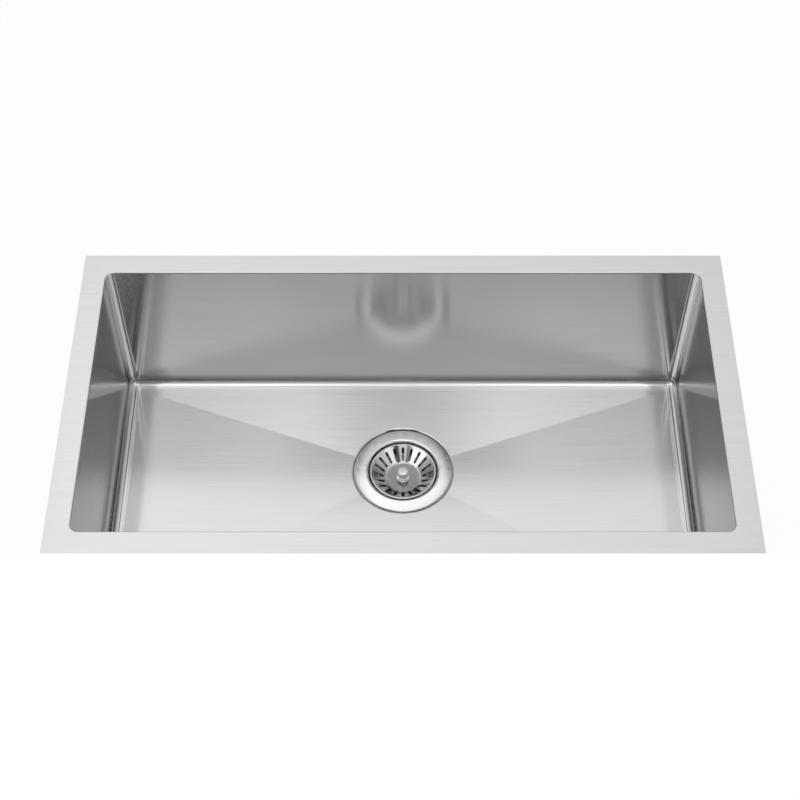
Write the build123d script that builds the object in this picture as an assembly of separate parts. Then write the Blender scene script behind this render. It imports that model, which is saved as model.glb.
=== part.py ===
from build123d import *
import math
import os

# Undermount kitchen sink with a basket strainer waste, in millimetres.
# The origin is the middle of the bowl's mouth at the rim's top face.
# X runs along the rim, +Y points to the back of the worktop, Z is up.

# Bowl and rim, one folded stainless sheet
rim_length = 700.0
rim_breadth = 380.0
rim_corner_radius = 1.5
flange_width = 25.0
bowl_depth = 200.0
sheet = 1.2
bowl_corner_radius = 12.0
rim_bend_inside = 0.8

# Creased floor that falls to the drain, and the drain's recessed seat
floor_fall = 7.0
drain_setback = 42.0
recess_sink = 1.0
recess_clearance = 1.0
recess_wall_angle = 45.0

# Sound-deadening pads glued outside the walls and under the floor
pad_thickness = 5.0
pad_corner_radius = 12.0
long_pad_length = 420.0
end_pad_length = 190.0
wall_pad_height = 90.0
wall_pad_drop = 50.0
floor_pad_length = 110.0
floor_pad_breadth = 150.0
floor_pad_inset = 25.0

# Strainer cup with its flange ring
flange_diameter = 112.0
flange_rise = 2.0
flange_edge_gap = 0.3
flange_edge_radius = 1.4
mouth_radius = 40.2
mouth_roll_radius = 3.0
cup_sheet = 0.8
cup_taper = 2.4
cup_floor_bend = 4.0
sump_radius = 22.0
sump_draft = 1.0
sump_depth = 4.0
sump_bend = 1.0
sump_hole_radius = 3.5
sump_hole_circle = 16.0
sump_hole_count = 8

# Seals on both sides of the bowl's sheet
flange_gasket_thickness = 1.5
flange_gasket_inset = 1.0
hole_clearance = 4.0
body_gasket_thickness = 4.0

# Moulded waste body
body_seat_width = 9.0
body_flange_thickness = 4.0
body_wall = 3.0
chamber_clearance = 3.0
chamber_drop = 10.0
funnel_drop = 22.0
outlet_bore_radius = 19.5
outlet_radius = 23.9
outlet_length = 28.0
outlet_chamfer = 1.0
rib_count = 8
rib_thickness = 3.0
rib_height = 14.0
arm_count = 3
arm_thickness = 3.0
arm_height = 12.0
hub_wall = 3.0
hub_floor = 3.0

# Hollow clamp screw with its washer and brass insert
screw_radius = 6.0
screw_reach = 16.0
screw_head_radius = 9.0
screw_slot_width = 2.4
screw_slot_depth = 1.2
screw_washer_thickness = 1.0
screw_tip_room = 1.5
insert_wall = 2.2
insert_length = 13.0
insert_sink = 0.5
thread_clearance = 0.05

# Basket with its knob
basket_drop = 15.8
basket_sheet = 0.7
basket_lip_drop = 2.4
basket_lip_width = 1.8
basket_lip_turn = 1.3
basket_lip_bend = 0.85
basket_side_gap = 2.0
basket_floor_radius = 20.0
basket_bend = 2.5
slot_count = 20
slot_width = 2.8
slot_start_radius = 22.5
slot_end_margin = 2.6
knob_height = 13.0
knob_base_radius = 7.5
knob_base_thickness = 1.6
knob_neck_radius = 4.0
knob_cap_radius = 6.4
knob_cap_thickness = 4.2
knob_dome = 1.0

# Post, seal, grip ring and glide washer under the basket
spigot_radius = 2.5
spigot_clearance = 0.06
spigot_rib = 0.35
spigot_rib_height = 0.8
post_radius = 3.4
post_lip_thickness = 0.9
post_lip_overhang = 1.5
post_boss_wall = 3.0
post_flange_radius = 12.0
post_flange_thickness = 1.4
post_length = 18.0
post_tip_chamfer = 0.8
head_clearance = 0.6
seal_thickness = 2.2
seal_radius = 28.0
seal_skirt_width = 3.0
grip_ring_section = 0.7
grip_ring_height = 9.0
bore_clearance = 0.2
grip_clearance = 0.05
glide_thickness = 0.8
glide_radius = 9.0

# Levels and radii that follow from the sizes above
bowl_length = rim_length - 2 * flange_width
bowl_breadth = rim_breadth - 2 * flange_width
floor_half_length = bowl_length / 2 - bowl_corner_radius
floor_half_breadth = bowl_breadth / 2 - bowl_corner_radius
recess_z = -(bowl_depth + floor_fall + recess_sink)
recess_under_z = recess_z - sheet
flange_radius = flange_diameter / 2
flange_edge_z = recess_z + flange_gasket_thickness + cup_sheet
crest_z = flange_edge_z + flange_rise
cup_outer_radius = mouth_radius + cup_sheet
hole_radius = cup_outer_radius + hole_clearance
basket_floor_z = crest_z - basket_drop
basket_under_z = basket_floor_z - basket_sheet
post_top_z = basket_under_z - glide_thickness
seal_top_z = post_top_z - post_lip_thickness
seal_under_z = seal_top_z - seal_thickness
post_flange_z = seal_under_z - post_flange_thickness
seat_z = post_flange_z - head_clearance
sump_z = seat_z - sump_depth
hub_top_z = sump_z - cup_sheet
screw_tip_z = hub_top_z - screw_reach
screw_bore_radius = post_radius + bore_clearance
body_top_z = recess_under_z - body_gasket_thickness
body_flange_radius = hole_radius + body_seat_width
chamber_radius = cup_outer_radius + chamber_clearance
funnel_top_z = hub_top_z - chamber_drop
outlet_top_z = funnel_top_z - funnel_drop
outlet_end_z = outlet_top_z - outlet_length
insert_bore_radius = screw_radius + thread_clearance
insert_radius = insert_bore_radius + insert_wall
hub_radius = insert_radius + hub_wall
screw_hole_radius = screw_radius + bore_clearance
spigot_bore_radius = spigot_radius + spigot_clearance
post_boss_radius = spigot_bore_radius + post_boss_wall


def about_drain(outline):
    """Turn a closed outline, drawn as (radius, height), about the drain's axis."""
    form = revolve(Plane.XZ * make_face(outline), Axis.Z)
    return Pos(0, drain_setback, 0) * form


def round_drain(piece, radius, count, level):
    """Copies of a piece spread evenly round the drain's axis."""
    centre = Pos(0, drain_setback, level)
    return [centre * place * piece for place in PolarLocations(radius, count)]


def ring(inner, outer, low, high):
    return about_drain(Polyline((inner, low), (outer, low), (outer, high), (inner, high), close=True))


def pressed_sheet(points, bends, thickness):
    """Turn a pressed sheet whose upper face follows the points, drawn from rim to centre."""
    upper = FilletPolyline(*points, radius=bends)
    return about_drain(offset(upper, thickness, side=Side.LEFT, closed=True))


def bowl_space(grow, top):
    """The bowl's inner space, or its outside when grown by the sheet."""
    height = bowl_depth + grow + top
    tub = Pos(0, 0, top - height / 2) * Box(bowl_length + 2 * grow, bowl_breadth + 2 * grow, height)
    bends = tub.edges().filter_by(Axis.Z) + tub.edges().group_by(Axis.Z)[0]
    tub = fillet(bends, bowl_corner_radius + grow)
    recess_radius = flange_radius + recess_clearance
    lean = math.radians(recess_wall_angle)
    low_radius = recess_radius + grow * math.tan(lean / 2)
    rise = recess_sink + floor_fall + sheet
    recess = Cone(low_radius, low_radius + rise / math.tan(lean), rise)
    recess = Pos(0, drain_setback, recess_z - grow + rise / 2) * recess
    return tub + floor_fold(-(bowl_depth + grow)) + recess


def floor_fold(level):
    """Four facets that fall from the floor's edges to the drain, closed on top inside the bowl's space."""
    sides = [(-1, -1), (1, -1), (1, 1), (-1, 1)]
    low = [Vector(x * floor_half_length, y * floor_half_breadth, level) for x, y in sides]
    high = [corner + Vector(0, 0, bowl_corner_radius) for corner in low]
    drain = Vector(0, drain_setback, level - floor_fall)
    faces = [Face(Wire.make_polygon(high))]
    for near in range(4):
        far = (near + 1) % 4
        faces.append(Face(Wire.make_polygon([low[near], low[far], drain])))
        faces.append(Face(Wire.make_polygon([low[near], low[far], high[far], high[near]])))
    return Solid(Shell(faces))


def edges_round_mouth(bowl, level):
    """Level edges at a given height, without those of the rim's outer edge."""
    box = Pos(0, 0, level) * Box(bowl_length + 4 * sheet, bowl_breadth + 4 * sheet, sheet / 2)
    return [edge for edge in bowl.edges() if box.is_inside(edge.center()) and edge.bounding_box().size.Z < sheet / 2]


def make_bowl():
    rim = Pos(0, 0, -sheet / 2) * Box(rim_length, rim_breadth, sheet)
    rim = fillet(rim.edges().filter_by(Axis.Z), rim_corner_radius)
    bowl = rim + bowl_space(sheet, 0) - bowl_space(0, sheet)
    bowl -= Pos(0, drain_setback, recess_z) * Cylinder(hole_radius, 4 * sheet)
    bowl = fillet(edges_round_mouth(bowl, 0), rim_bend_inside + sheet)
    return fillet(edges_round_mouth(bowl, -sheet), rim_bend_inside)


def pad(length, breadth):
    """A sound pad standing on its glued face, which lies in the XY plane."""
    face = RectangleRounded(length, breadth, pad_corner_radius)
    return extrude(face, pad_thickness)


def make_wall_pads():
    level = -(sheet + wall_pad_drop + wall_pad_height / 2)
    wall_y = bowl_breadth / 2 + sheet
    wall_x = bowl_length / 2 + sheet
    long_pad = pad(long_pad_length, wall_pad_height)
    end_pad = pad(end_pad_length, wall_pad_height)
    return {
        "wall_pad_front": Plane((0, -wall_y, level), (1, 0, 0), (0, -1, 0)) * long_pad,
        "wall_pad_back": Plane((0, wall_y, level), (1, 0, 0), (0, 1, 0)) * long_pad,
        "wall_pad_left": Plane((-wall_x, 0, level), (0, 1, 0), (-1, 0, 0)) * end_pad,
        "wall_pad_right": Plane((wall_x, 0, level), (0, 1, 0), (1, 0, 0)) * end_pad,
    }


def make_floor_pads():
    middle = floor_half_length - floor_pad_inset - floor_pad_length / 2
    inner_end = middle - floor_pad_length / 2
    centre_y = drain_setback * (1 - inner_end / floor_half_length)
    level = -(bowl_depth + sheet) - floor_fall * (1 - middle / floor_half_length)
    fall = Vector(-floor_half_length, 0, -floor_fall)
    down = Vector(floor_fall, 0, -floor_half_length)
    right = Plane((middle, centre_y, level), fall, down) * pad(floor_pad_length, floor_pad_breadth)
    return {"floor_pad_left": mirror(right, Plane.YZ), "floor_pad_right": right}


def make_strainer_cup():
    floor_radius = mouth_radius - cup_taper
    upper = [
        (flange_radius, recess_z + flange_edge_gap),
        (flange_radius, flange_edge_z),
        (mouth_radius, crest_z),
        (floor_radius, seat_z),
        (sump_radius, seat_z),
        (sump_radius - sump_draft, sump_z),
        (screw_hole_radius, sump_z),
    ]
    bends = [flange_edge_radius, mouth_roll_radius, cup_floor_bend, sump_bend, sump_bend]
    cup = pressed_sheet(upper, bends, cup_sheet)
    hole = Cylinder(sump_hole_radius, 4 * cup_sheet)
    return cup - round_drain(hole, sump_hole_circle, sump_hole_count, sump_z)


def flange_under(radius):
    """Height of the flange ring's underside, a shallow cone that rises to the mouth."""
    slope = flange_rise / (flange_radius - mouth_radius)
    drop = cup_sheet * math.sqrt(1 + slope ** 2)
    return flange_edge_z + slope * (flange_radius - radius) - drop


def make_seals():
    inner = mouth_radius + mouth_roll_radius + hole_clearance
    outer = flange_radius - flange_edge_radius - flange_gasket_inset
    wedge = Polyline(
        (inner, recess_z), (outer, recess_z), (outer, flange_under(outer)), (inner, flange_under(inner)), close=True
    )
    return {
        "flange_gasket": about_drain(wedge),
        "body_gasket": ring(hole_radius, body_flange_radius, body_top_z, recess_under_z),
    }


def make_waste_body():
    outer_radius = chamber_radius + body_wall
    outline = Polyline(
        (chamber_radius, body_top_z),
        (body_flange_radius, body_top_z),
        (body_flange_radius, body_top_z - body_flange_thickness),
        (outer_radius, body_top_z - body_flange_thickness),
        (outer_radius, funnel_top_z),
        (outlet_radius, outlet_top_z),
        (outlet_radius, outlet_end_z + outlet_chamfer),
        (outlet_radius - outlet_chamfer, outlet_end_z),
        (outlet_bore_radius, outlet_end_z),
        (outlet_bore_radius, outlet_top_z),
        (chamber_radius, funnel_top_z),
        close=True,
    )
    body = about_drain(outline)
    rib_top = body_top_z - body_flange_thickness
    rib = Polyline(
        (outer_radius - body_wall / 2, rib_top),
        (body_flange_radius - rib_thickness, rib_top),
        (outer_radius - body_wall / 2, rib_top - rib_height),
        close=True,
    )
    rib = extrude(Plane.XZ * make_face(rib), rib_thickness / 2, both=True)
    hub_end = screw_tip_z - screw_tip_room - hub_floor
    hub = ring(0, hub_radius, hub_end, hub_top_z)
    arm_length = chamber_radius + body_wall / 2
    arm = Pos(arm_length / 2, 0, 0) * Box(arm_length, arm_thickness, arm_height)
    body += round_drain(rib, 0, rib_count, 0)
    body += [hub] + round_drain(arm, 0, arm_count, funnel_top_z + arm_height / 2 - arm_thickness)
    pocket_end = hub_top_z - insert_sink - insert_length
    body -= ring(0, insert_radius + thread_clearance, pocket_end, hub_top_z)
    return body - ring(0, screw_hole_radius, hub_end + hub_floor, pocket_end)


def make_clamp():
    washer_top = sump_z + screw_washer_thickness
    screw = about_drain(Polyline(
        (0, screw_tip_z),
        (screw_radius, screw_tip_z),
        (screw_radius, washer_top),
        (screw_head_radius, washer_top),
        (screw_head_radius, seat_z),
        (screw_bore_radius, seat_z),
        (screw_bore_radius, screw_tip_z + screw_tip_room),
        (0, screw_tip_z + screw_tip_room),
        close=True,
    ))
    slot = Box(2 * screw_head_radius, screw_slot_width, 2 * screw_slot_depth)
    insert_top = hub_top_z - insert_sink
    return {
        "clamp_screw": screw - Pos(0, drain_setback, seat_z) * slot,
        "screw_washer": ring(screw_hole_radius, screw_head_radius, sump_z, washer_top),
        "hub_insert": ring(insert_bore_radius, insert_radius, insert_top - insert_length, insert_top),
    }


def make_basket():
    lip_z = crest_z - basket_lip_drop
    lip_radius = mouth_radius - basket_side_gap
    wall_radius = lip_radius - basket_lip_width
    upper = [
        (lip_radius, lip_z - basket_lip_turn),
        (lip_radius, lip_z),
        (wall_radius, lip_z),
        (basket_floor_radius, basket_floor_z),
        (spigot_bore_radius, basket_floor_z),
    ]
    basket = pressed_sheet(upper, [basket_lip_bend, basket_lip_bend, basket_bend], basket_sheet)
    slot_length = wall_radius - slot_end_margin - slot_start_radius
    slot = extrude(SlotOverall(slot_length, slot_width), 2 * basket_drop)
    slot_middle = slot_start_radius + slot_length / 2
    return basket - round_drain(slot, slot_middle, slot_count, basket_floor_z - basket_drop / 2)


def make_lift_knob():
    top_z = basket_floor_z + knob_height
    cap_z = top_z - knob_cap_thickness
    neck_z = basket_floor_z + knob_base_thickness
    rib_z = (post_top_z + post_flange_z) / 2
    tip_z = post_flange_z + spigot_rib_height
    outline = Polyline(
        (0, tip_z),
        (spigot_radius, tip_z),
        (spigot_radius, rib_z - spigot_rib_height / 2),
        (spigot_radius + spigot_rib, rib_z),
        (spigot_radius, rib_z + spigot_rib_height / 2),
        (spigot_radius, basket_floor_z),
        (knob_base_radius, basket_floor_z),
        (knob_base_radius, basket_floor_z + knob_base_thickness / 2),
        (knob_neck_radius, neck_z),
        (knob_neck_radius, cap_z - knob_dome),
        (knob_cap_radius, cap_z),
        (knob_cap_radius, top_z - knob_dome),
        (knob_cap_radius - knob_dome, top_z),
        (0, top_z),
        close=True,
    )
    return about_drain(outline)


def make_post_parts():
    rib_z = (post_top_z + post_flange_z) / 2
    rib_room = spigot_rib_height / 2 + spigot_clearance
    groove_z = post_flange_z - grip_ring_height
    groove_radius = screw_bore_radius - grip_clearance - 2 * grip_ring_section
    tip_z = post_flange_z - post_length
    post = about_drain(Polyline(
        (0, tip_z),
        (post_radius - post_tip_chamfer, tip_z),
        (post_radius, tip_z + post_tip_chamfer),
        (post_radius, groove_z - grip_ring_section),
        (groove_radius, groove_z - grip_ring_section),
        (groove_radius, groove_z + grip_ring_section),
        (post_radius, groove_z + grip_ring_section),
        (post_radius, post_flange_z),
        (post_flange_radius, post_flange_z),
        (post_flange_radius, seal_under_z),
        (post_boss_radius, seal_under_z),
        (post_boss_radius, seal_top_z),
        (post_boss_radius + post_lip_overhang, seal_top_z),
        (post_boss_radius + post_lip_overhang, post_top_z),
        (spigot_bore_radius, post_top_z),
        (spigot_bore_radius, rib_z + rib_room),
        (spigot_bore_radius + spigot_rib, rib_z + spigot_clearance),
        (spigot_bore_radius + spigot_rib, rib_z - spigot_clearance),
        (spigot_bore_radius, rib_z - rib_room),
        (spigot_bore_radius, post_flange_z),
        (0, post_flange_z),
        close=True,
    ))
    skirt_inner = seal_radius - seal_skirt_width
    seal = about_drain(Polyline(
        (post_boss_radius, seal_under_z),
        (skirt_inner, seal_under_z),
        (skirt_inner + seal_skirt_width / 2, seat_z),
        (seal_radius, seat_z),
        (seal_radius - seal_skirt_width / 2, seal_top_z),
        (post_boss_radius, seal_top_z),
        close=True,
    ))
    grip = Torus(groove_radius + grip_ring_section, grip_ring_section)
    return {
        "basket_post": post,
        "basket_seal": seal,
        "grip_ring": Pos(0, drain_setback, groove_z) * grip,
        "glide_washer": ring(spigot_bore_radius, glide_radius, post_top_z, basket_under_z),
    }


pieces = {
    "bowl": make_bowl(),
    **make_wall_pads(),
    **make_floor_pads(),
    "strainer_cup": make_strainer_cup(),
    **make_seals(),
    "waste_body": make_waste_body(),
    **make_clamp(),
    "basket": make_basket(),
    "lift_knob": make_lift_knob(),
    **make_post_parts(),
}

os.makedirs("parts", exist_ok=True)
for name, piece in pieces.items():
    export_step(piece, f"parts/{name}.step")
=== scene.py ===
import bpy
import math
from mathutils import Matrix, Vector


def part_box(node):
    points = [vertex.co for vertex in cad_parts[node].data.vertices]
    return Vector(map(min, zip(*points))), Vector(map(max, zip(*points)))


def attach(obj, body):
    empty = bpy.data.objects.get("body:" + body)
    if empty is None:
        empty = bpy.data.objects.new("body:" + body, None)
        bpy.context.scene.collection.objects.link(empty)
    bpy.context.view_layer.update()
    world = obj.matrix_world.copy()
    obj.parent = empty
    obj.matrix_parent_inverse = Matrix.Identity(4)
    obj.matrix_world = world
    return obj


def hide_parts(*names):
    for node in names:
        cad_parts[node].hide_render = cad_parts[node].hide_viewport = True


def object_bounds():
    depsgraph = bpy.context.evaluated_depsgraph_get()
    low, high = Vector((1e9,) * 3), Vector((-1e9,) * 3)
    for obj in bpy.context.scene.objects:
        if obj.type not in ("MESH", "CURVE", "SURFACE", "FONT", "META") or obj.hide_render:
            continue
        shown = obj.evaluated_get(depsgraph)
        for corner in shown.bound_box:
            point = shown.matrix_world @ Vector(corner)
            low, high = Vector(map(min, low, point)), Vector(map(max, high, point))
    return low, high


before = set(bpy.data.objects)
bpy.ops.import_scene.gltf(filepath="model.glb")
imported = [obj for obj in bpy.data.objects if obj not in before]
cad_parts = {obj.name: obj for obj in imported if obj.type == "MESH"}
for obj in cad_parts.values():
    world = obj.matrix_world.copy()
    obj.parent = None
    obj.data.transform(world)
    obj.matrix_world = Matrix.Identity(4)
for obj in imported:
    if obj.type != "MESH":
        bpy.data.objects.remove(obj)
cad_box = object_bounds()


# Bowl: one sheet of 1.2 mm stainless steel, folded into a box with tight bends and a flat turned-out rim.
# The floor is creased into four facets that fall to a round pressed seat for the waste.
# It is brushed along its length while still flat, so the grain climbs the two end walls.
rim_low, rim_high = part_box("bowl")
rim_size = rim_high - rim_low
rim_corner = 0.0015
rim_corner_cuts = (18, 45, 72)
flange_width = 0.025
mouth = rim_size / 2 - Vector((flange_width, flange_width, 0))
mouth_roll = 0.002
bowl_depth = 0.2
sheet = 0.0012
bend_radius = 0.01
floor_fall = 0.007
floor_border = 0.0025
crease_width = 0.003
crease_turn = math.radians(0.2)
shortest_crease = 0.001
drain = Vector((0, 0.042, 0))
fan_half = 0.08
fan_reach = 0.113
fan_lines = 48
seat_edge_radius = 0.0592
seat_shoulder = [(0.0585, 0.0002), (0.0578, 0.0006), (0.0572, 0.0012)]
seat_radius = 0.0566
seat_drop = 0.001
seat_z = -(bowl_depth + floor_fall + seat_drop)
drain_hole_radius = 0.045
hair = 1e-4
speck = 1e-5
merge_gap = 2e-6
mostly = 0.9
bowl_smoothing = math.radians(28)
steel_dark = (0.605, 0.595, 0.594, 1)
steel_light = (0.665, 0.655, 0.654, 1)
steel_roughness = (0.14, 0.16)
streak_size = (7, 1300, 1)
brushing = 0.92
brushing_turn = 0.25
pattern_low = 0.3
pattern_high = 0.7


def open_new(add_primitive, **sizes):
    """Add a primitive with nothing else selected and open it in edit mode."""
    bpy.ops.object.select_all(action="DESELECT")
    add_primitive(**sizes)
    bpy.ops.object.mode_set(mode="EDIT")
    return bpy.context.object


def pick(kind, test):
    """Select those vertices, edges or faces of the open mesh whose place passes the test."""
    bpy.ops.mesh.select_mode(type=kind)
    bpy.ops.mesh.select_all(action="DESELECT")
    bpy.ops.object.mode_set(mode="OBJECT")
    mesh = bpy.context.object.data
    if kind == "VERT":
        for vertex in mesh.vertices:
            vertex.select = test(vertex.co)
    elif kind == "EDGE":
        for edge in mesh.edges:
            near, far = (mesh.vertices[index].co for index in edge.vertices)
            edge.select = test(near, far)
    else:
        for face in mesh.polygons:
            face.select = test(face.center, face.normal)
    bpy.ops.object.mode_set(mode="EDIT")


def from_drain(place):
    return math.hypot(place.x - drain.x, place.y - drain.y)


def is_bend(near, far):
    is_upright = abs(near.z - far.z) > bowl_depth / 2
    is_foot = max(near.z, far.z) < -bowl_depth / 2
    return is_upright or is_foot


def is_mouth(place):
    within = abs(place.x) < mouth.x + mouth_roll and abs(place.y) < mouth.y + mouth_roll
    return within and abs(place.z) < speck


def is_flat_bottom(centre, normal):
    return centre.z < -bowl_depth + speck and normal.z > mostly and abs(centre.x) < bend_radius


def is_floor(place):
    return place.z < -bowl_depth - speck


def is_facet(face):
    return is_floor(face.center) and from_drain(face.center) > seat_edge_radius


def is_crease(near, far):
    run = Vector((far.x - near.x, far.y - near.y, 0))
    middle = (near + far) / 2 - drain
    corner_y = mouth.y - bend_radius - math.copysign(drain.y, middle.y)
    slope = corner_y / (mouth.x - bend_radius)
    on_line = abs(abs(middle.y) - slope * abs(middle.x)) < hair
    along = abs(abs(run.y) - slope * abs(run.x)) < hair and run.length > shortest_crease
    return on_line and along and is_floor((near + far) / 2) and from_drain(middle + drain) > seat_edge_radius


bowl = open_new(bpy.ops.mesh.primitive_plane_add, size=1)
bpy.ops.transform.resize(value=(rim_size.x, rim_size.y, 1))
bpy.ops.mesh.inset(thickness=flange_width)
bpy.ops.mesh.extrude_region_move(TRANSFORM_OT_translate={"value": (0, 0, -bowl_depth)})
pick("EDGE", is_bend)
bpy.ops.mesh.bevel(offset=bend_radius, segments=12, affect="EDGES")
pick("EDGE", lambda near, far: is_mouth(near) and is_mouth(far))
bpy.ops.mesh.bevel(offset=mouth_roll, segments=5, affect="EDGES")
for side_x, side_y in ((-1, -1), (1, -1), (1, 1), (-1, 1)):
    corner_x = side_x * (rim_size.x / 2 - rim_corner)
    corner_y = side_y * (rim_size.y / 2 - rim_corner)
    for cut in rim_corner_cuts:
        angle = math.radians(cut)
        outward = Vector((side_x * math.cos(angle), side_y * math.sin(angle), 0))
        cut_place = Vector((corner_x, corner_y, 0)) + outward * rim_corner
        bpy.ops.mesh.select_all(action="SELECT")
        bpy.ops.mesh.bisect(plane_co=cut_place, plane_no=outward, clear_outer=True)

pick("FACE", is_flat_bottom)
bpy.ops.mesh.poke(offset=-floor_fall)
pick("VERT", lambda place: place.z < -bowl_depth - floor_fall / 2)
bpy.ops.transform.translate(value=drain)
pick("FACE", lambda centre, normal: is_floor(centre))
bpy.ops.mesh.inset(thickness=floor_border)
for side in (-fan_half, fan_half):
    pick("FACE", lambda centre, normal: is_floor(centre))
    bpy.ops.mesh.bisect(plane_co=(side, 0, 0), plane_no=(1, 0, 0))
    pick("FACE", lambda centre, normal: is_floor(centre))
    bpy.ops.mesh.bisect(plane_co=(0, drain.y + side, 0), plane_no=(0, 1, 0))
for line in range(fan_lines):
    angle = math.pi * (line + 0.5) / fan_lines
    pick("FACE", lambda centre, normal: is_floor(centre) and from_drain(centre) < fan_reach)
    bpy.ops.mesh.bisect(plane_co=drain, plane_no=(math.sin(angle), -math.cos(angle), 0))
pick("VERT", lambda place: is_floor(place) and from_drain(place) < hair)
bpy.ops.mesh.bevel(offset=seat_edge_radius, segments=1, affect="VERTICES")
pick("EDGE", is_crease)
bpy.ops.mesh.bevel(offset=crease_width, segments=3, affect="EDGES")
pick("FACE", lambda centre, normal: is_floor(centre) and from_drain(centre) < seat_edge_radius / 2)
seat_middle = (drain.x, drain.y, seat_z)
last_radius = seat_edge_radius
last_drop = 0
for radius, drop in seat_shoulder:
    bpy.ops.mesh.extrude_region_move(TRANSFORM_OT_translate={"value": (0, 0, last_drop - drop)})
    narrower = radius / last_radius
    bpy.ops.transform.resize(value=(narrower, narrower, 1), center_override=seat_middle)
    last_radius = radius
    last_drop = drop
bpy.ops.mesh.extrude_region_move(TRANSFORM_OT_translate={"value": (0, 0, -seat_drop)})
narrower = seat_radius / last_radius
bpy.ops.transform.resize(value=(narrower, narrower, 0), center_override=seat_middle)
bpy.ops.mesh.inset(thickness=seat_radius - drain_hole_radius)
bpy.ops.mesh.delete(type="FACE")


def turn_faces_up(pressing):
    """Merge the open sheet's doubles and turn all of its faces to the upper side."""
    bpy.ops.mesh.select_all(action="SELECT")
    bpy.ops.mesh.remove_doubles(threshold=merge_gap)
    bpy.ops.mesh.normals_make_consistent(inside=False)
    bpy.ops.object.mode_set(mode="OBJECT")
    if sum(face.normal.z * face.area for face in pressing.data.polygons) < 0:
        bpy.ops.object.mode_set(mode="EDIT")
        bpy.ops.mesh.flip_normals()
        bpy.ops.object.mode_set(mode="OBJECT")


turn_faces_up(bowl)
sides_of = {}
for face in bowl.data.polygons:
    for key in face.edge_keys:
        sides_of.setdefault(key, []).append(face)
for edge in bowl.data.edges:
    facets = [face for face in sides_of[edge.key] if is_facet(face)]
    if len(facets) == 2:
        edge.use_edge_sharp = facets[0].normal.angle(facets[1].normal) > crease_turn

grain = bowl.data.uv_layers.new(name="grain")
for face in bowl.data.polygons:
    facing = [abs(value) for value in face.normal]
    for corner in face.loop_indices:
        place = bowl.data.vertices[bowl.data.loops[corner].vertex_index].co
        if facing[2] >= max(facing[0], facing[1]):
            grain.data[corner].uv = (place.x, place.y)
        elif facing[1] >= facing[0]:
            grain.data[corner].uv = (place.x, place.z)
        else:
            grain.data[corner].uv = (place.z, place.y)

bowl_sheet = bowl.modifiers.new("sheet", "SOLIDIFY")
bowl_sheet.thickness = sheet
bowl_sheet.offset = -1
bpy.ops.object.modifier_apply(modifier="sheet")
bpy.ops.object.shade_smooth_by_angle(angle=bowl_smoothing)
flat_walls = bowl.modifiers.new("flat walls", "WEIGHTED_NORMAL")
flat_walls.keep_sharp = True
bpy.ops.object.modifier_apply(modifier="flat walls")


def new_finish(name):
    """A new material with its node tree and main shader."""
    finish = bpy.data.materials.new(name)
    finish.use_nodes = True
    return finish, finish.node_tree, finish.node_tree.nodes["Principled BSDF"]


def tones(tree, source, dark, light):
    """Spread a pattern's values between two colours."""
    ramp = tree.nodes.new("ShaderNodeValToRGB")
    ramp.color_ramp.elements[0].position = pattern_low
    ramp.color_ramp.elements[0].color = dark
    ramp.color_ramp.elements[1].position = pattern_high
    ramp.color_ramp.elements[1].color = light
    tree.links.new(source, ramp.inputs["Fac"])
    return ramp.outputs["Color"]


def spread(tree, source, low, high):
    """Spread a pattern's values between two numbers."""
    band = tree.nodes.new("ShaderNodeMapRange")
    band.inputs["From Min"].default_value = pattern_low
    band.inputs["From Max"].default_value = pattern_high
    band.inputs["To Min"].default_value = low
    band.inputs["To Max"].default_value = high
    tree.links.new(source, band.inputs["Value"])
    return band.outputs["Result"]


def speckle(tree, source, size, detail=3):
    """A cloudy pattern, with how often it changes along each direction."""
    mapping = tree.nodes.new("ShaderNodeMapping")
    mapping.inputs["Scale"].default_value = size
    noise = tree.nodes.new("ShaderNodeTexNoise")
    noise.inputs["Scale"].default_value = 1
    noise.inputs["Detail"].default_value = detail
    tree.links.new(source, mapping.inputs["Vector"])
    tree.links.new(mapping.outputs["Vector"], noise.inputs["Vector"])
    return noise.outputs["Fac"]


bowl_steel, tree, shader = new_finish("brushed bowl steel")
shader.inputs["Metallic"].default_value = 1
shader.inputs["Anisotropic"].default_value = brushing
shader.inputs["Anisotropic Rotation"].default_value = brushing_turn
along_grain = tree.nodes.new("ShaderNodeTangent")
along_grain.direction_type = "UV_MAP"
along_grain.uv_map = "grain"
tree.links.new(along_grain.outputs["Tangent"], shader.inputs["Tangent"])
grain_map = tree.nodes.new("ShaderNodeUVMap")
grain_map.uv_map = "grain"
streaks = speckle(tree, grain_map.outputs["UV"], streak_size)
tree.links.new(tones(tree, streaks, steel_dark, steel_light), shader.inputs["Base Color"])
tree.links.new(spread(tree, streaks, *steel_roughness), shader.inputs["Roughness"])


def place_piece(piece, name, node, body, finish):
    """Name a finished piece, give it its finish and set it on its body in place of the solid."""
    piece.name = name
    piece.data.materials.clear()
    piece.data.materials.append(finish)
    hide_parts(node)
    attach(piece, body)


place_piece(bowl, "folded_bowl", "bowl", "sink_body", bowl_steel)


# Sound pads: flat dense rubber mats with rounded corners that keep the thin sheet from drumming.
# Four are glued to the outside of the walls and two under the sloping end facets of the floor.
pad_corner = 0.012
pad_edge = 0.001
floor_pad_size = Vector((0.11, 0.15, 0.005))
floor_pad_tilt = math.atan(floor_fall / (mouth.x - bend_radius))
pad_smoothing = math.radians(40)
pad_dark = (0.022, 0.022, 0.023, 1)
pad_light = (0.04, 0.04, 0.041, 1)
pad_roughness = (0.72, 0.9)
pad_grain_size = (900, 900, 900)
pad_dust_size = (25, 25, 25)
pad_relief = (0.0003, 0.5)


def object_place(tree):
    """The place of each point of a piece, in metres."""
    return tree.nodes.new("ShaderNodeTexCoord").outputs["Object"]


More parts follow.
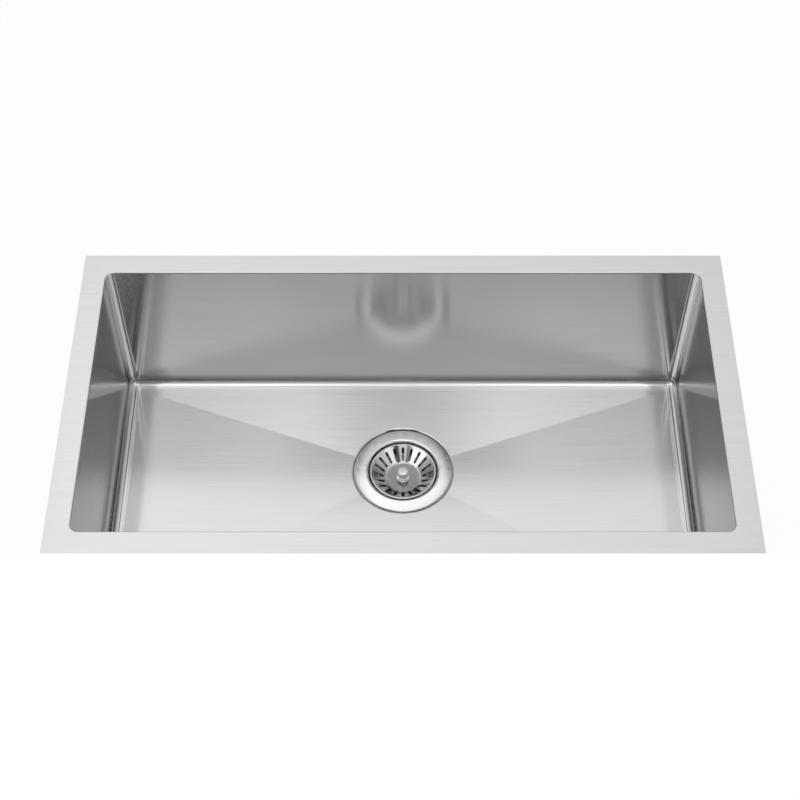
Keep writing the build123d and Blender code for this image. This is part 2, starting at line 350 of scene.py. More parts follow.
def relief(tree, shader, source, height, strength):
    """Let a pattern stand up from the surface."""
    bump = tree.nodes.new("ShaderNodeBump")
    bump.inputs["Distance"].default_value = height
    bump.inputs["Strength"].default_value = strength
    tree.links.new(source, bump.inputs["Height"])
    tree.links.new(bump.outputs["Normal"], shader.inputs["Normal"])


pad_rubber, tree, shader = new_finish("pad rubber")
pad_grain = speckle(tree, object_place(tree), pad_grain_size, detail=4)
pad_dust = speckle(tree, object_place(tree), pad_dust_size)
tree.links.new(tones(tree, pad_dust, pad_dark, pad_light), shader.inputs["Base Color"])
tree.links.new(spread(tree, pad_grain, *pad_roughness), shader.inputs["Roughness"])
relief(tree, shader, pad_grain, *pad_relief)


def rubber_pad(size, centre, flat, tilt=0):
    """A pad with rounded corners, flat along one axis and tilted to the left or right."""
    pad = open_new(bpy.ops.mesh.primitive_cube_add, size=1)
    bpy.ops.transform.resize(value=size)
    half = size[flat] / 2
    pick("EDGE", lambda near, far: abs(near[flat] - far[flat]) > half)
    bpy.ops.mesh.bevel(offset=pad_corner, segments=8, affect="EDGES")
    pick("FACE", lambda place, normal: abs(normal[flat]) > mostly)
    bpy.ops.mesh.region_to_loop()
    bpy.ops.mesh.bevel(offset=pad_edge, segments=3, affect="EDGES")
    bpy.ops.mesh.select_all(action="SELECT")
    bpy.ops.transform.translate(value=centre)
    if tilt:
        bpy.ops.transform.rotate(value=tilt, orient_axis="Y", center_override=centre)
    bpy.ops.object.mode_set(mode="OBJECT")
    bpy.ops.object.shade_smooth_by_angle(angle=pad_smoothing)
    return pad


for side, flat in (("front", 1), ("back", 1), ("left", 0), ("right", 0)):
    pad_low, pad_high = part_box("wall_pad_" + side)
    pad = rubber_pad(pad_high - pad_low, (pad_low + pad_high) / 2, flat)
    place_piece(pad, "rubber_pad_" + side, "wall_pad_" + side, "sink_body", pad_rubber)
for side, turn in (("left", -1), ("right", 1)):
    pad_low, pad_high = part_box("floor_pad_" + side)
    pad = rubber_pad(floor_pad_size, (pad_low + pad_high) / 2, 2, turn * floor_pad_tilt)
    place_piece(pad, "rubber_floor_pad_" + side, "floor_pad_" + side, "sink_body", pad_rubber)


# Strainer cup: pressed from polished stainless sheet, with a sloping ring that lies in the seat, coloured
# brighter as painted light.
# Its inside, coloured darker below the ring as painted shade, drops to a floor and a sump with eight round
# holes for the water.
# The clamp screw passes through the hole in the middle of the sump.
cup_sheet = 0.0008
cup_ring_radius = 0.056
cup_floor_z = -0.2261
sump_floor_z = -0.2301
screw_hole_radius = 0.0062
cup_corners = [
    (cup_ring_radius, -0.2077), (cup_ring_radius, -0.205), (0.0402, -0.2037), (0.0378, cup_floor_z),
    (0.022, cup_floor_z), (0.021, sump_floor_z), (screw_hole_radius, sump_floor_z),
]
cup_bends = {1: 0.0012, 2: 0.003, 3: 0.004, 4: 0.001, 5: 0.001}
sump_hole_count = 8
sump_hole_radius = 0.0035
sump_hole_circle = 0.016
sump_drill_length = 0.006
same_place = 1e-6
round_smoothing = math.radians(32)
# Painted light and shade: the heights and colours of a brighter ring and a darker inside.
shade_below = -0.2095
lit_above = -0.2065
shade_inside_dim = (0.3, 0.3, 0.3, 1)
shade_inside_bright = (0.38, 0.38, 0.385, 1)
lit_ring_dim = (0.82, 0.82, 0.82, 1)
lit_ring_bright = (0.9, 0.9, 0.905, 1)
polish_size = (160, 160, 160)
polish_roughness = (0.19, 0.25)


def start_line(place):
    """Open a new mesh with a single point, from which a line is drawn."""
    line = open_new(bpy.ops.mesh.primitive_plane_add, size=1)
    bpy.ops.mesh.select_mode(type="VERT")
    bpy.ops.mesh.select_all(action="SELECT")
    bpy.ops.mesh.merge(type="CENTER")
    bpy.ops.transform.translate(value=place)
    return line


def beside_axis(corner):
    """The place of a (radius, height) corner, to the right of the drain's axis."""
    return Vector((corner[0], drain.y, corner[1]))


def draw_outline(corners, bends):
    """Draw an outline beside the drain's axis, through (radius, height) corners, and round its bends."""
    outline = start_line(beside_axis(corners[0]))
    for (radius, height), (next_radius, next_height) in zip(corners, corners[1:]):
        step = (next_radius - radius, 0, next_height - height)
        bpy.ops.mesh.extrude_vertices_move(TRANSFORM_OT_translate={"value": step})
    for index, bend in bends.items():
        spot = beside_axis(corners[index])
        before = Vector(corners[index]) - Vector(corners[index - 1])
        after = Vector(corners[(index + 1) % len(corners)]) - Vector(corners[index])
        reach = bend * math.tan(before.angle(after) / 2)
        pick("VERT", lambda place: (place - spot).length < same_place)
        bpy.ops.mesh.bevel(offset=reach, segments=6, affect="VERTICES")
    return outline


def spin_round(steps):
    """Turn the open outline once round the drain's axis."""
    bpy.ops.mesh.select_all(action="SELECT")
    bpy.ops.mesh.spin(steps=steps, angle=2 * math.pi, center=drain, axis=(0, 0, 1))


def copies_round(count):
    """Copy the open mesh evenly round the drain's axis and close it."""
    bpy.ops.mesh.select_all(action="SELECT")
    turn = 2 * math.pi * (count - 1) / count
    bpy.ops.mesh.spin(steps=count - 1, dupli=True, angle=turn, center=drain, axis=(0, 0, 1))
    bpy.ops.object.mode_set(mode="OBJECT")


def pressed(corners, bends, thickness, steps=120):
    """A round pressing whose upper face follows the corners, drawn from its rim to its middle."""
    pressing = draw_outline(corners, bends)
    spin_round(steps)
    turn_faces_up(pressing)
    wall = pressing.modifiers.new("wall", "SOLIDIFY")
    wall.thickness = thickness
    wall.offset = -1
    wall.use_even_offset = True
    bpy.ops.object.modifier_apply(modifier="wall")
    return pressing


def cut_out(piece, cutter):
    """Take the cutter's shape out of a piece, put the cutter away and smooth the round faces."""
    cut = piece.modifiers.new("cut", "BOOLEAN")
    cut.operation = "DIFFERENCE"
    cut.solver = "EXACT"
    cut.object = cutter
    bpy.context.view_layer.objects.active = piece
    bpy.ops.object.modifier_apply(modifier="cut")
    bpy.data.objects.remove(cutter)
    bpy.ops.object.select_all(action="DESELECT")
    piece.select_set(True)
    bpy.ops.object.shade_smooth_by_angle(angle=round_smoothing)


def graded(tree, source, start, end, first, last):
    """A value that goes softly from first to last while its source goes from start to end."""
    grade = tree.nodes.new("ShaderNodeMapRange")
    grade.interpolation_type = "SMOOTHSTEP"
    grade.inputs["From Min"].default_value = start
    grade.inputs["From Max"].default_value = end
    grade.inputs["To Min"].default_value = first
    grade.inputs["To Max"].default_value = last
    tree.links.new(source, grade.inputs["Value"])
    return grade.outputs["Result"]


def two_colours(tree, shader, share, first, second):
    """Colour a surface with the first colour where the share is 0 and the second where it is 1."""
    colours = tree.nodes.new("ShaderNodeMix")
    colours.data_type = "RGBA"
    tree.links.new(share, colours.inputs["Factor"])
    tree.links.new(first, colours.inputs["A"])
    tree.links.new(second, colours.inputs["B"])
    tree.links.new(colours.outputs["Result"], shader.inputs["Base Color"])


def polished(name, roughness):
    """A polished steel finish of cloudy roughness, and the pattern for its two pairs of colours."""
    finish, tree, shader = new_finish(name)
    shader.inputs["Metallic"].default_value = 1
    polish = speckle(tree, object_place(tree), polish_size, detail=4)
    tree.links.new(spread(tree, polish, *roughness), shader.inputs["Roughness"])
    return finish, tree, shader, polish


cup_steel, tree, shader, polish = polished("cup steel with painted light and shade", polish_roughness)
cup_height = tree.nodes.new("ShaderNodeSeparateXYZ")
tree.links.new(object_place(tree), cup_height.inputs["Vector"])
# Painted light and shade: the ring is coloured brighter and the inside below it darker, graded by height.
lit_share = graded(tree, cup_height.outputs["Z"], shade_below, lit_above, 0, 1)
painted_shade_inside = tones(tree, polish, shade_inside_dim, shade_inside_bright)
painted_lit_ring = tones(tree, polish, lit_ring_dim, lit_ring_bright)
two_colours(tree, shader, lit_share, painted_shade_inside, painted_lit_ring)

strainer = pressed(cup_corners, cup_bends, cup_sheet)
sump_drill = open_new(
    bpy.ops.mesh.primitive_cylinder_add, radius=sump_hole_radius, depth=sump_drill_length, vertices=32,
    location=(sump_hole_circle, drain.y, sump_floor_z - cup_sheet / 2),
)
bpy.ops.object.mode_set(mode="OBJECT")
bpy.ops.object.transform_apply()
bpy.ops.object.mode_set(mode="EDIT")
copies_round(sump_hole_count)
cut_out(strainer, sump_drill)
place_piece(strainer, "polished_strainer_cup", "strainer_cup", "sink_body", cup_steel)


# Gaskets: two soft rubber rings that seal the bowl's sheet, a thin wedge under the strainer's ring
# and a thicker flat one squeezed between the sheet and the waste body below.
flange_gasket_bore = 0.0472
flange_gasket_radius = 0.0536
flange_gasket_corners = [
    (flange_gasket_bore, seat_z), (flange_gasket_radius, seat_z), (flange_gasket_radius, -0.2056),
    (flange_gasket_bore, -0.2051),
]
flange_gasket_bends = {1: 0.0005, 2: 0.0005}
body_gasket_radius = 0.054
sheet_under_z = seat_z - sheet
body_top_z = -0.2132
body_gasket_corners = [
    (drain_hole_radius, body_top_z), (body_gasket_radius, body_top_z), (body_gasket_radius, sheet_under_z),
    (drain_hole_radius, sheet_under_z),
]
body_gasket_bends = {1: 0.0009, 2: 0.0009}
gasket_dark = (0.012, 0.012, 0.012, 1)
gasket_light = (0.03, 0.03, 0.03, 1)
gasket_roughness = (0.45, 0.62)
bloom_size = (220, 220, 220)
bloom_height = 0.0002
bloom_strength = 0.2


def cloudy(name, size, detail, dark, light, roughness, metallic=0, height=0, strength=0):
    """A finish with one cloudy pattern in its colour, its roughness and, where it has height, its relief."""
    finish, tree, shader = new_finish(name)
    shader.inputs["Metallic"].default_value = metallic
    pattern = speckle(tree, object_place(tree), size, detail)
    tree.links.new(tones(tree, pattern, dark, light), shader.inputs["Base Color"])
    tree.links.new(spread(tree, pattern, *roughness), shader.inputs["Roughness"])
    if height:
        relief(tree, shader, pattern, height, strength)
    return finish


def turned(corners, bends, steps=96):
    """A solid round piece turned from a closed outline of (radius, height) corners."""
    piece = draw_outline(corners, bends)
    first = beside_axis(corners[0])
    last = beside_axis(corners[-1])
    if first.x > same_place and last.x > same_place:
        pick("VERT", lambda place: min((place - first).length, (place - last).length) < same_place)
        bpy.ops.mesh.edge_face_add()
    spin_round(steps)
    bpy.ops.mesh.select_all(action="SELECT")
    bpy.ops.mesh.remove_doubles(threshold=merge_gap)
    bpy.ops.mesh.normals_make_consistent(inside=False)
    bpy.ops.object.mode_set(mode="OBJECT")
    bpy.ops.object.shade_smooth_by_angle(angle=round_smoothing)
    return piece


gasket_rubber = cloudy(
    "gasket rubber", bloom_size, 4, gasket_dark, gasket_light, gasket_roughness,
    height=bloom_height, strength=bloom_strength,
)
flange_gasket = turned(flange_gasket_corners, flange_gasket_bends)
place_piece(flange_gasket, "flange_seal_ring", "flange_gasket", "sink_body", gasket_rubber)
body_gasket = turned(body_gasket_corners, body_gasket_bends)
place_piece(body_gasket, "body_seal_ring", "body_gasket", "sink_body", gasket_rubber)


# Waste body: an injection-moulded white plastic funnel with a ribbed flange that hangs under the bowl.
# Three arms inside carry a hub for the clamp screw, and the outlet has a moulded pipe thread.
flange_under_z = -0.2172
chamber_low_z = -0.2409
neck_z = -0.2629
outlet_end_z = -0.2909
chamber_radius = 0.047
chamber_bore = 0.044
outlet_radius = 0.0239
outlet_root = 0.0226
outlet_bore = 0.0195
body_corners = [
    (chamber_bore, body_top_z), (body_gasket_radius, body_top_z), (body_gasket_radius, flange_under_z),
    (chamber_radius, flange_under_z), (chamber_radius, chamber_low_z), (outlet_radius, neck_z),
    (outlet_radius, -0.2645), (outlet_root, -0.2655), (outlet_root, -0.2899), (0.0216, outlet_end_z),
    (outlet_bore, outlet_end_z), (outlet_bore, neck_z), (chamber_bore, chamber_low_z),
]
body_bends = {1: 0.0008, 2: 0.0012, 3: 0.0015, 4: 0.003, 5: 0.003, 6: 0.0005, 11: 0.002, 12: 0.002}
hub_radius = 0.0113
hub_top_z = -0.2309
hub_low_z = -0.2514
hub_pocket_radius = 0.0062
hub_pocket_z = -0.2484
insert_hole_radius = 0.0083
insert_seat_z = -0.2444
hub_corners = [
    (0, hub_pocket_z), (hub_pocket_radius, hub_pocket_z), (hub_pocket_radius, insert_seat_z),
    (insert_hole_radius, insert_seat_z), (insert_hole_radius, hub_top_z), (hub_radius, hub_top_z),
    (hub_radius, hub_low_z), (0, hub_low_z),
]
hub_bends = {5: 0.0006, 6: 0.0015}
arm_count = 3
arm_size = (0.037, 0.003, 0.012)
arm_round = 0.0008
arm_place = (0.0275, drain.y, -0.2379)
rib_count = 8
rib_size = (0.0055, 0.003, 0.014)
rib_round = 0.0006
rib_slope = 0.0036
rib_place = (0.04825, drain.y, flange_under_z - rib_size[2] / 2)
thread_root = 0.0224
thread_depth = 0.0013
thread_pitch = 0.00231
thread_flank = 0.38 * thread_pitch
thread_crest = 0.18 * thread_pitch
thread_turns = 9
thread_steps = 72
thread_low_z = -0.2885
waste_dark = (0.74, 0.74, 0.72, 1)
waste_light = (0.82, 0.82, 0.8, 1)
waste_roughness = (0.36, 0.5)
mould_skin_size = (700, 700, 700)
flow_mark_size = (30, 30, 60)
mould_relief = (0.0001, 0.15)

waste_plastic, tree, shader = new_finish("white waste plastic")
mould_skin = speckle(tree, object_place(tree), mould_skin_size, detail=2)
flow_marks = speckle(tree, object_place(tree), flow_mark_size)
tree.links.new(tones(tree, flow_marks, waste_dark, waste_light), shader.inputs["Base Color"])
tree.links.new(spread(tree, mould_skin, *waste_roughness), shader.inputs["Roughness"])
relief(tree, shader, mould_skin, *mould_relief)

waste_body = turned(body_corners, body_bends)
hub = turned(hub_corners, hub_bends)

arms = open_new(bpy.ops.mesh.primitive_cube_add, size=1)
bpy.ops.transform.resize(value=arm_size)
pick("EDGE", lambda near, far: abs(near.x - far.x) > arm_size[0] / 2)
bpy.ops.mesh.bevel(offset=arm_round, segments=3, affect="EDGES")
bpy.ops.mesh.select_all(action="SELECT")
bpy.ops.transform.translate(value=arm_place)
copies_round(arm_count)

ribs = open_new(bpy.ops.mesh.primitive_cube_add, size=1)
bpy.ops.transform.resize(value=rib_size)
bpy.ops.transform.translate(value=rib_place)
pick("VERT", lambda place: place.x > chamber_radius and place.z < rib_place[2])
bpy.ops.transform.translate(value=(-rib_slope, 0, 0))
pick("EDGE", lambda near, far: min(near.x, far.x) > chamber_radius)
bpy.ops.mesh.bevel(offset=rib_round, segments=3, affect="EDGES")
copies_round(rib_count)

thread = start_line((thread_root, 0, thread_low_z))
for out, up in ((thread_depth, thread_flank), (0, thread_crest), (-thread_depth, thread_flank)):
    bpy.ops.mesh.extrude_vertices_move(TRANSFORM_OT_translate={"value": (out, 0, up)})
pick("VERT", lambda place: place.x < thread_root + thread_depth / 2)
bpy.ops.mesh.edge_face_add()
bpy.ops.object.mode_set(mode="OBJECT")
winding = thread.modifiers.new("winding", "SCREW")
winding.axis = "Z"
winding.angle = 2 * math.pi
winding.screw_offset = thread_pitch
winding.iterations = thread_turns
winding.steps = thread_steps
winding.render_steps = thread_steps
bpy.ops.object.modifier_apply(modifier="winding")
bpy.ops.object.mode_set(mode="EDIT")
bpy.ops.mesh.select_all(action="SELECT")
bpy.ops.mesh.fill_holes(sides=4)
bpy.ops.mesh.normals_make_consistent(inside=False)
bpy.ops.transform.translate(value=drain)
bpy.ops.object.mode_set(mode="OBJECT")

bpy.ops.object.select_all(action="DESELECT")
for moulded in (waste_body, hub, arms, ribs, thread):
    moulded.select_set(True)
bpy.context.view_layer.objects.active = waste_body
bpy.ops.object.join()
bpy.ops.object.shade_smooth_by_angle(angle=round_smoothing)
place_piece(waste_body, "moulded_waste_body", "waste_body", "sink_body", waste_plastic)


# Clamp: a hollow stainless screw with a slotted head draws the strainer cup down on the waste body.
# It turns in a brass insert pressed into the hub, and a thin rubber washer seals its head in the sump.
insert_bore = 0.00605
insert_radius = 0.00825
insert_top_z = -0.2314
insert_corners = [
    (insert_bore, insert_seat_z), (insert_radius, insert_seat_z), (insert_radius, insert_top_z),
    (insert_bore, insert_top_z),
]
insert_bends = {0: 0.0004, 1: 0.0003, 2: 0.0004, 3: 0.0004}
head_radius = 0.009
head_under_z = -0.2291
shank_radius = 0.006
shank_end_z = -0.2469
screw_bore = 0.0036
bore_end_z = -0.2454
screw_corners = [
    (0, shank_end_z), (shank_radius, shank_end_z), (shank_radius, head_under_z), (head_radius, head_under_z),
    (head_radius, cup_floor_z), (screw_bore, cup_floor_z), (screw_bore, bore_end_z), (0, bore_end_z),
]
screw_bends = {1: 0.0006, 4: 0.0012, 5: 0.0004}
screw_slot_size = (0.02, 0.0024, 0.0024)
screw_slot_round = 0.0003
washer_corners = [
    (screw_hole_radius, sump_floor_z), (head_radius, sump_floor_z), (head_radius, head_under_z),
    (screw_hole_radius, head_under_z),
]
washer_bends = {1: 0.0003, 2: 0.0003}
brass_dark = (0.6, 0.43, 0.18, 1)
brass_light = (0.72, 0.55, 0.27, 1)
brass_roughness = (0.24, 0.4)
tarnish_size = (300, 300, 300)
polished_dark = (0.72, 0.72, 0.72, 1)
polished_light = (0.8, 0.8, 0.805, 1)

insert_brass = cloudy("turned brass", tarnish_size, 3, brass_dark, brass_light, brass_roughness, metallic=1)
hub_insert = turned(insert_corners, insert_bends, steps=48)
place_piece(hub_insert, "brass_hub_insert", "hub_insert", "sink_body", insert_brass)

polished_steel = cloudy(
    "polished steel", polish_size, 4, polished_dark, polished_light, polish_roughness, metallic=1,
)
clamp_screw = turned(screw_corners, screw_bends, steps=64)
screw_slot = open_new(bpy.ops.mesh.primitive_cube_add, size=1)
bpy.ops.transform.resize(value=screw_slot_size)
pick("EDGE", lambda near, far: abs(near.x - far.x) > screw_slot_size[0] / 2 and near.z < 0)
bpy.ops.mesh.bevel(offset=screw_slot_round, segments=2, affect="EDGES")
bpy.ops.mesh.select_all(action="SELECT")
bpy.ops.transform.translate(value=(0, drain.y, cup_floor_z))
bpy.ops.object.mode_set(mode="OBJECT")
cut_out(clamp_screw, screw_slot)
place_piece(clamp_screw, "slotted_clamp_screw", "clamp_screw", "sink_body", polished_steel)

screw_washer = turned(washer_corners, washer_bends, steps=48)
place_piece(screw_washer, "screw_seal_washer", "screw_washer", "sink_body", gasket_rubber)


# Basket: a thin pressed dish of polished stainless steel with a rolled lip that hangs free in the cup.
# Twenty round-ended slots are punched through its sloping side to hold back scraps.
# The flat bottom round the knob is coloured greyer than the side, as painted shade in the dish's hollow.
basket_sheet = 0.0007
basket_radius = 0.0382
basket_lip_z = -0.2061
basket_bottom_z = -0.2195
spigot_hole_radius = 0.00256
basket_corners = [
    (basket_radius, -0.2074), (basket_radius, basket_lip_z), (0.0364, basket_lip_z), (0.02, basket_bottom_z),
    (spigot_hole_radius, basket_bottom_z),
]
basket_bends = {1: 0.00085, 2: 0.00085, 3: 0.0025}
slot_count = 20
slot_width = 0.0031
slot_start = 0.0222
slot_end = 0.034
slot_round = slot_width / 2 - 2e-5
punch_height = 0.03
punch_z = -0.213
# Painted shade: the reach and colours of the darker flat bottom in the dish.
shade_within = 0.0187
unshaded_beyond = 0.0193
shaded_bottom_dim = (0.33, 0.33, 0.33, 1)
shaded_bottom_bright = (0.41, 0.41, 0.415, 1)
side_dark = (0.6, 0.6, 0.6, 1)
side_light = (0.68, 0.68, 0.685, 1)
basket_roughness = (0.12, 0.18)

basket_steel, tree, shader, polish = polished("basket steel with painted shade", basket_roughness)
about_axis = tree.nodes.new("ShaderNodeMapping")
about_axis.inputs["Location"].default_value = -drain
about_axis.inputs["Scale"].default_value = (1, 1, 0)
from_axis = tree.nodes.new("ShaderNodeVectorMath")
from_axis.operation = "LENGTH"
tree.links.new(object_place(tree), about_axis.inputs["Vector"])
tree.links.new(about_axis.outputs["Vector"], from_axis.inputs[0])
# Painted shade: the flat bottom inside the dish is coloured greyer than the side.
on_side = graded(tree, from_axis.outputs["Value"], shade_within, unshaded_beyond, 0, 1)
painted_shade_bottom = tones(tree, polish, shaded_bottom_dim, shaded_bottom_bright)
bright_side = tones(tree, polish, side_dark, side_light)
two_colours(tree, shader, on_side, painted_shade_bottom, bright_side)

basket = pressed(basket_corners, basket_bends, basket_sheet)
slot_punch = open_new(bpy.ops.mesh.primitive_cube_add, size=1)
bpy.ops.transform.resize(value=(slot_end - slot_start, slot_width, punch_height))
pick("EDGE", lambda near, far: abs(near.z - far.z) > punch_height / 2)
bpy.ops.mesh.bevel(offset=slot_round, segments=8, affect="EDGES")
bpy.ops.mesh.select_all(action="SELECT")
bpy.ops.transform.translate(value=((slot_start + slot_end) / 2, drain.y, punch_z))
copies_round(slot_count)
cut_out(basket, slot_punch)
place_piece(basket, "slotted_basket", "basket", "basket_body", basket_steel)


# Knob: a turned stainless finger grip with a waist, riveted through the middle of the basket.
# Its spigot snaps into the post below, so that the basket turns freely on it.
knob_top_z = -0.2065
knob_radius = 0.0064
knob_foot_radius = 0.0075
knob_waist = 0.004
spigot_radius = 0.0025
spigot_end_z = -0.2247
knob_corners = [
    (0, spigot_end_z), (spigot_radius, spigot_end_z), (spigot_radius, basket_bottom_z),
    (knob_foot_radius, basket_bottom_z), (knob_foot_radius, -0.2187), (knob_waist, -0.2179),
    (knob_waist, -0.2117), (knob_radius, -0.2107), (knob_radius, -0.2075), (0.0054, knob_top_z),
    (0, knob_top_z),
]
knob_bends = {4: 0.0005, 5: 0.0014, 6: 0.0012, 7: 0.0005, 8: 0.0008, 9: 0.0008}

lift_knob = turned(knob_corners, knob_bends, steps=64)
place_piece(lift_knob, "turned_lift_knob", "lift_knob", "basket_body", polished_steel)


# Stopper post: a moulded plastic post with a wide soft seal, which plugs the cup when it is pushed down.
# A rubber ring in its groove grips the hollow screw, and a slippery washer lets the basket turn on top.
post_radius = 0.0034
post_end_z = -0.2435
groove_radius = 0.00215
groove_low_z = -0.2352
groove_high_z = -0.2338
plate_radius = 0.012
plate_low_z = -0.2255
seal_low_z = -0.2241
seal_high_z = -0.2219
seal_bore = 0.00556
collar_radius = 0.00706
post_top_z = -0.221
post_corners = [
    (0, post_end_z), (0.0026, post_end_z), (post_radius, -0.2427), (post_radius, groove_low_z),
    (groove_radius, groove_low_z), (groove_radius, groove_high_z), (post_radius, groove_high_z),
    (post_radius, plate_low_z), (plate_radius, plate_low_z), (plate_radius, seal_low_z),
    (seal_bore, seal_low_z), (seal_bore, seal_high_z), (collar_radius, seal_high_z),
    (collar_radius, post_top_z), (spigot_hole_radius, post_top_z), (spigot_hole_radius, plate_low_z),
    (0, plate_low_z),
]
post_bends = {8: 0.0004, 9: 0.0004, 12: 0.0002, 13: 0.0003}
seal_lip_radius = 0.028
seal_fold_radius = 0.0265
seal_corners = [
    (seal_bore, seal_low_z), (0.025, seal_low_z), (seal_fold_radius, cup_floor_z),
    (seal_lip_radius, cup_floor_z), (seal_fold_radius, seal_high_z), (seal_bore, seal_high_z),
]
seal_bends = {1: 0.0006, 2: 0.0003, 3: 0.0003, 4: 0.001}
glide_radius = 0.009
glide_top_z = -0.2202
glide_corners = [
    (spigot_hole_radius, post_top_z), (glide_radius, post_top_z), (glide_radius, glide_top_z),
    (spigot_hole_radius, glide_top_z),
]
glide_bends = {1: 0.0002, 2: 0.0002}
post_dark = (0.3, 0.3, 0.31, 1)
post_light = (0.36, 0.36, 0.37, 1)
post_roughness = (0.35, 0.48)
post_skin_size = (600, 600, 600)

post_plastic = cloudy("grey post plastic", post_skin_size, 2, post_dark, post_light, post_roughness)
basket_post = turned(post_corners, post_bends, steps=48)
place_piece(basket_post, "moulded_basket_post", "basket_post", "post_body", post_plastic)
basket_seal = turned(seal_corners, seal_bends, steps=72)
place_piece(basket_seal, "soft_basket_seal", "basket_seal", "post_body", gasket_rubber)

ring_low, ring_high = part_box("grip_ring")
ring_section = (ring_high.z - ring_low.z) / 2
grip_ring = open_new(
    bpy.ops.mesh.primitive_torus_add, location=(ring_low + ring_high) / 2, minor_radius=ring_section,
    major_radius=(ring_high.x - ring_low.x) / 2 - ring_section, major_segments=48, minor_segments=16,
)
bpy.ops.object.mode_set(mode="OBJECT")
bpy.ops.object.transform_apply()
bpy.ops.object.shade_smooth()
place_piece(grip_ring, "rubber_grip_ring", "grip_ring", "post_body", gasket_rubber)

glide_washer = turned(glide_corners, glide_bends, steps=48)
place_piece(glide_washer, "slippery_glide_washer", "glide_washer", "post_body", post_plastic)


# Studio: a pale floor under the sink and a white backdrop, greyer towards the floor in its middle.
# Two narrow dark strips of the backdrop, left and right of its middle, give the end walls their depth.
# Soft lamps stand before, behind and beside the sink.
floor_level = cad_box[0].z
floor_size = 8
floor_colour = (0.92, 0.92, 0.92, 1)
floor_roughness = 0.9
floor_glow = 0.94
front_end = -0.1
back_start = 0.1
strip_start = 0.158
strip_dark = 0.187
strip_tone = 0.04
strip_end = 0.34
ends_start = 0.44
ends_tone = 0.8
back_reach = 0.69
low_height = 0.6
high_height = 0.8
low_grey = 0.6
side_reach = 0.4
left_tone = 1.13
right_tone = 0.85
horizon_low = 0.3
horizon_high = 0.5
horizon_tone = 0.85
light_level = 0.7
lamp_places = [
    ((-0.5, -0.7, 2.2), (0.96, 0.7), 2.45),
    ((0.5, -0.7, 2.2), (0.96, 0.7), 2.45),
    ((-0.2, 1.35, 2.05), (3, 1.4), 2.75),
    ((-1.2, -0.75, 1.35), (1.6, 0.8), 3.2),
    ((1.05, -0.85, 1.35), (0.8, 0.8), 0.9),
]


def worked(tree, operation, first, second=None):
    """A value worked out from one or two others."""
    working = tree.nodes.new("ShaderNodeMath")
    working.operation = operation
    tree.links.new(first, working.inputs[0])
    if second:
        tree.links.new(second, working.inputs[1])
    return working.outputs["Value"]


def mirrored_rays(tree):
    """The kinds of ray that reach a surface, and a value that is 1 for what steel mirrors."""
    rays = tree.nodes.new("ShaderNodeLightPath").outputs
    return rays, worked(tree, "MAXIMUM", rays["Is Glossy Ray"], rays["Is Transmission Ray"])


studio = bpy.data.worlds.new("white studio")
studio.use_nodes = True
bpy.context.scene.world = studio
tree = studio.node_tree
backdrop = tree.nodes["Background"]
backdrop.inputs["Color"].default_value = (1, 1, 1, 1)
towards = tree.nodes.new("ShaderNodeSeparateXYZ")
tree.links.new(tree.nodes.new("ShaderNodeTexCoord").outputs["Generated"], towards.inputs["Vector"])
narrowing = graded(tree, towards.outputs["Y"], front_end, back_start, 1, back_reach)
off_middle = worked(tree, "ABSOLUTE", towards.outputs["X"])
sideways = worked(tree, "MULTIPLY", off_middle, narrowing)
side_tone = graded(tree, sideways, strip_start, strip_dark, 1, strip_tone)
low_tone = graded(tree, towards.outputs["Z"], low_height, high_height, low_grey, 1)
to_back = graded(tree, towards.outputs["Y"], front_end, back_start, 0, 1)
back_sideways = worked(tree, "MULTIPLY", towards.outputs["X"], to_back)
left_to_right = graded(tree, back_sideways, -side_reach, side_reach, left_tone, right_tone)
middle_tone = worked(tree, "MULTIPLY", worked(tree, "MULTIPLY", side_tone, low_tone), left_to_right)
end_tone = graded(tree, off_middle, strip_end, ends_start, 0, ends_tone)
horizon = graded(tree, towards.outputs["Z"], horizon_low, horizon_high, horizon_tone, 0)
mirror_tone = worked(tree, "MAXIMUM", worked(tree, "MAXIMUM", middle_tone, end_tone), horizon)
rays, mirrored = mirrored_rays(tree)
light_tone = graded(tree, mirrored, 0, 1, light_level, 1)
tree.links.new(mirror_tone, light_tone.node.inputs["To Max"])
seen_tone = worked(tree, "MAXIMUM", light_tone, rays["Is Camera Ray"])
tree.links.new(seen_tone, backdrop.inputs["Strength"])

floor = open_new(bpy.ops.mesh.primitive_plane_add, size=floor_size, location=(0, 0, floor_level))
bpy.ops.object.mode_set(mode="OBJECT")
pale_floor, tree, shader = new_finish("pale floor")
shader.inputs["Base Color"].default_value = floor_colour
shader.inputs["Roughness"].default_value = floor_roughness
glow = tree.nodes.new("ShaderNodeEmission")
rays, mirrored = mirrored_rays(tree)
in_sight = worked(tree, "MAXIMUM", mirrored, rays["Is Camera Ray"])
lit_and_glowing = tree.nodes.new("ShaderNodeMixShader")
tree.links.new(graded(tree, in_sight, 0, 1, 0, floor_glow), lit_and_glowing.inputs["Fac"])
tree.links.new(shader.outputs["BSDF"], lit_and_glowing.inputs[1])
tree.links.new(glow.outputs["Emission"], lit_and_glowing.inputs[2])
under = tree.nodes.new("ShaderNodeNewGeometry")
clear = tree.nodes.new("ShaderNodeBsdfTransparent")
one_sided = tree.nodes.new("ShaderNodeMixShader")
tree.links.new(under.outputs["Backfacing"], one_sided.inputs["Fac"])
tree.links.new(lit_and_glowing.outputs["Shader"], one_sided.inputs[1])
tree.links.new(clear.outputs["BSDF"], one_sided.inputs[2])
tree.links.new(one_sided.outputs["Shader"], tree.nodes["Material Output"].inputs["Surface"])
floor.data.materials.append(pale_floor)
floor.name = "pale_floor"

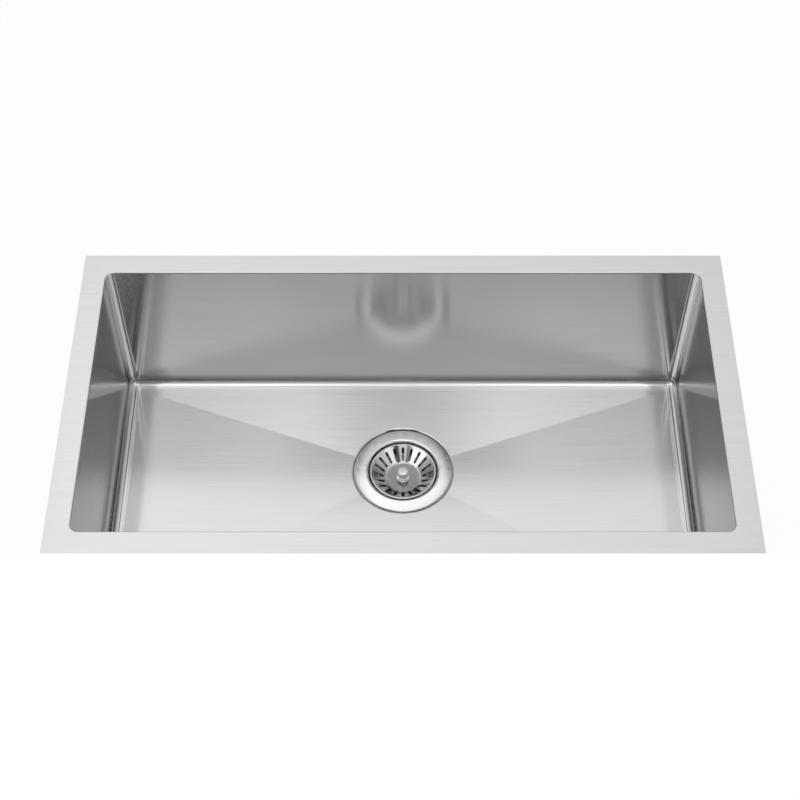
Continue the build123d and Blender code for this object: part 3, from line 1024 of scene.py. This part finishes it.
for number, (place, size, power) in enumerate(lamp_places):
    lamp = bpy.data.lights.new("soft lamp " + str(number), "AREA")
    lamp.shape = "RECTANGLE"
    lamp.size, lamp.size_y = size
    lamp.energy = power
    stand = bpy.data.objects.new("soft_lamp_" + str(number), lamp)
    stand.location = place
    stand.rotation_euler = (drain - Vector(place)).to_track_quat("-Z", "Y").to_euler()
    bpy.context.scene.collection.objects.link(stand)


# Camera: above and in front of the sink, as in the photograph.
# A white card close before its lens hides what stands below the front rim, as a cut-out does.
camera_place = Vector((0, -0.97815, 1.33246))
sight = Vector((0, 0.5889, -0.8082))
picture_up = Vector((0, 0.8082, 0.5889))
sensor_width = 36
lens_length = 71.96
lens_shift = -0.0037
middle_row = 400
card_top_row = 553.4
card_distance = 0.15
card_reach = 1.2

lens = bpy.data.cameras.new("camera")
lens.sensor_width = sensor_width
lens.lens = lens_length
lens.shift_x = lens_shift
camera = bpy.data.objects.new("camera", lens)
camera.location = camera_place
camera.rotation_euler = sight.to_track_quat("-Z", "Y").to_euler()
bpy.context.scene.collection.objects.link(camera)
bpy.context.scene.camera = camera
bpy.context.scene.view_settings.view_transform = "Standard"

half_view = card_distance * sensor_width / lens_length / 2
card_top = -half_view * (card_top_row - middle_row) / middle_row
card_bottom = -half_view * card_reach
card = open_new(bpy.ops.mesh.primitive_plane_add, size=1)
bpy.ops.transform.resize(value=(2 * card_reach * half_view, card_top - card_bottom, 1))
bpy.ops.object.mode_set(mode="OBJECT")
card_middle = camera_place + sight * card_distance + picture_up * (card_top + card_bottom) / 2
for vertex in card.data.vertices:
    vertex.co = card_middle + Vector((vertex.co.x, 0, 0)) + picture_up * vertex.co.y
white_card, tree = new_finish("white card")[:2]
card_glow = tree.nodes.new("ShaderNodeEmission")
tree.links.new(card_glow.outputs["Emission"], tree.nodes["Material Output"].inputs["Surface"])
card.data.materials.append(white_card)
card.name = "lens_card"
card.visible_diffuse = False
card.visible_glossy = False
card.visible_transmission = False
card.visible_shadow = False
